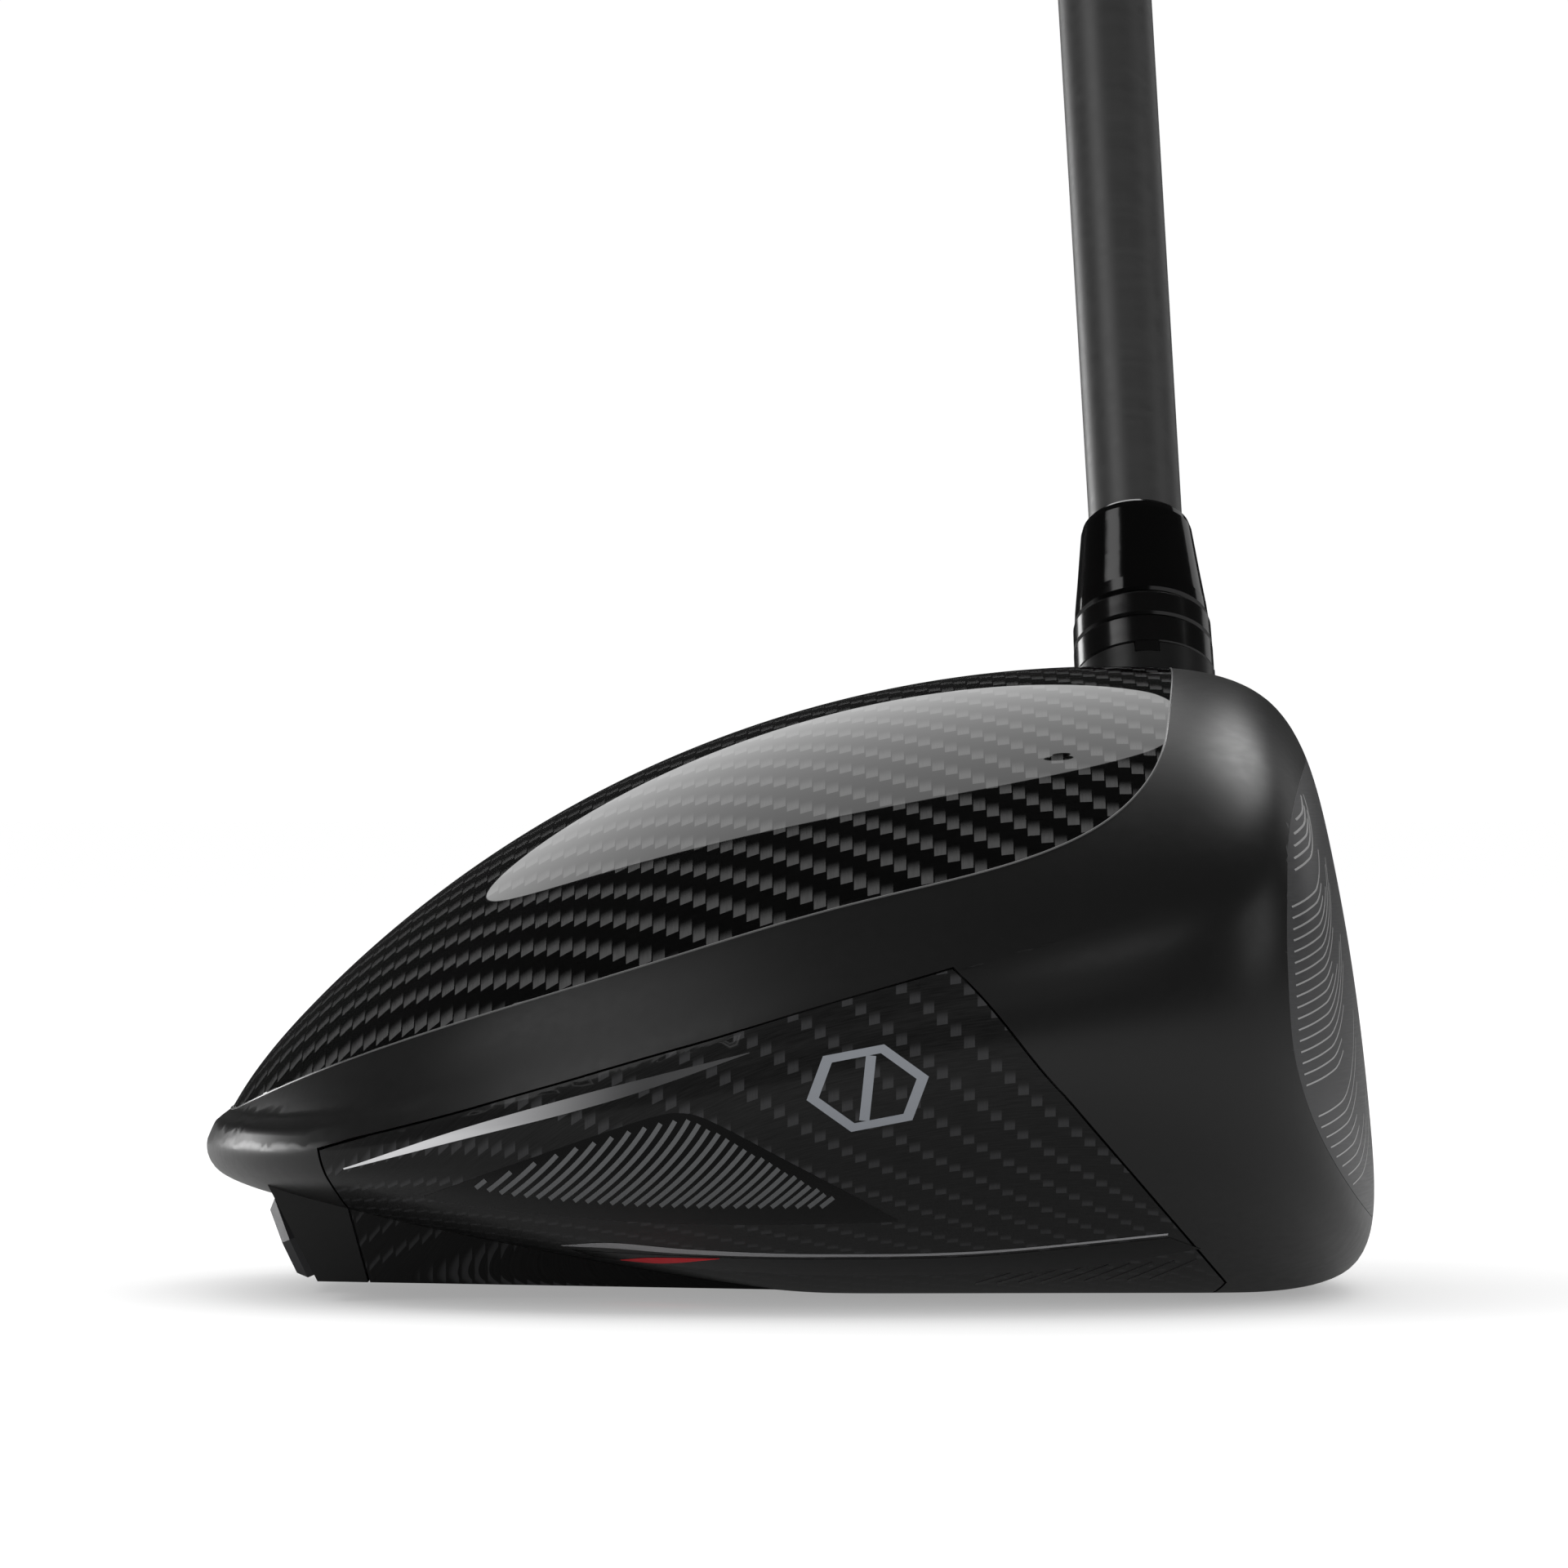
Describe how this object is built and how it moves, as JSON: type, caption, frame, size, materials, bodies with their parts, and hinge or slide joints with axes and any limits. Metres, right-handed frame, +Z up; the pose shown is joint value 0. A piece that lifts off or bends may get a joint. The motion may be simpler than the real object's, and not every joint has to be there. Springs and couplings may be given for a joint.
{
  "type": "golf driver",
  "caption": "Right-handed golf driver at address: hollow carbon-crowned head with an adjustable hosel adapter, rear screw-in weight, graphite shaft and rubber grip.",
  "frame": {"origin": "on the flat of the sole that rests on the ground, under the middle of the head", "axes": "+X towards the target (out of the face), -Y towards the toe, +Y towards the player, +Z up, with the club at its playing lie"},
  "size_m": [0.1084, 0.715, 0.9755],
  "materials": {
    "titanium": "satin black over cast titanium",
    "face": "dark brushed titanium with fine etched lines",
    "crown_carbon": "gloss-lacquered 2x2 twill carbon fibre",
    "sole_carbon": "satin-lacquered twill carbon fibre with printed graphics",
    "tungsten": "dark tungsten alloy",
    "black_steel": "black oxide steel",
    "nylon": "natural nylon",
    "anodised": "black anodised aluminium",
    "ferrule": "polished black",
    "shaft": "satin dark grey lacquer over wound graphite",
    "brass": "turned",
    "tape": "crepe paper tape",
    "grip_rubber": "matt moulded rubber"
  },
  "bodies": {
    "head": {"head_casting": "titanium", "face_plate": "face", "crown_panel": "crown_carbon", "sole_panel_toe": "sole_carbon", "sole_panel_heel": "sole_carbon", "hosel_washer": "black_steel"},
    "hosel_bolt": {"hosel_bolt": "black_steel", "bolt_retainer": "nylon"},
    "index_ring": {"index_ring": "anodised"},
    "shaft_assembly": {"adapter_sleeve": "anodised", "thread_insert": "black_steel", "ferrule": "ferrule", "shaft": "shaft", "tip_weight": "brass", "tip_plug": "nylon", "grip_tape": "tape", "grip": "grip_rubber", "grip_cap": "grip_rubber"},
    "rear_weight": {"rear_weight": "tungsten"},
    "rear_weight_screw": {"rear_weight_screw": "black_steel"}
  },
  "joints": [
    {"name": "hosel_bolt_turn", "type": "hinge", "parent": "head", "child": "hosel_bolt", "pos_m": [0.02257, 0.03313, 0.02373], "axis": [-0.0296, 0.5297, 0.8477], "range_deg": [-4951, 0]},
    {"name": "adapter_lift", "type": "slide", "parent": "head", "child": "index_ring", "axis": [-0.0296, 0.5297, 0.8477], "range_m": [0, 0.011]},
    {"name": "adapter_turn", "type": "hinge", "parent": "index_ring", "child": "shaft_assembly", "pos_m": [0.02133, 0.05538, 0.05934], "axis": [-0.0296, 0.5297, 0.8477], "continuous": true},
    {"name": "rear_weight_out", "type": "slide", "parent": "head", "child": "rear_weight", "axis": [-0.9205, 0, -0.3907], "range_m": [0, 0.007]},
    {"name": "rear_weight_screw_turn", "type": "hinge", "parent": "rear_weight", "child": "rear_weight_screw", "pos_m": [-0.05907, 0, 0.00575], "axis": [-0.9205, 0, -0.3907], "range_deg": [0, 3601]}
  ],
  "couplings": [
    {"joint": "hosel_bolt_turn", "follows": "adapter_lift", "rad_per_m": -7854},
    {"joint": "rear_weight_screw_turn", "follows": "rear_weight_out", "rad_per_m": 8976}
  ]
}
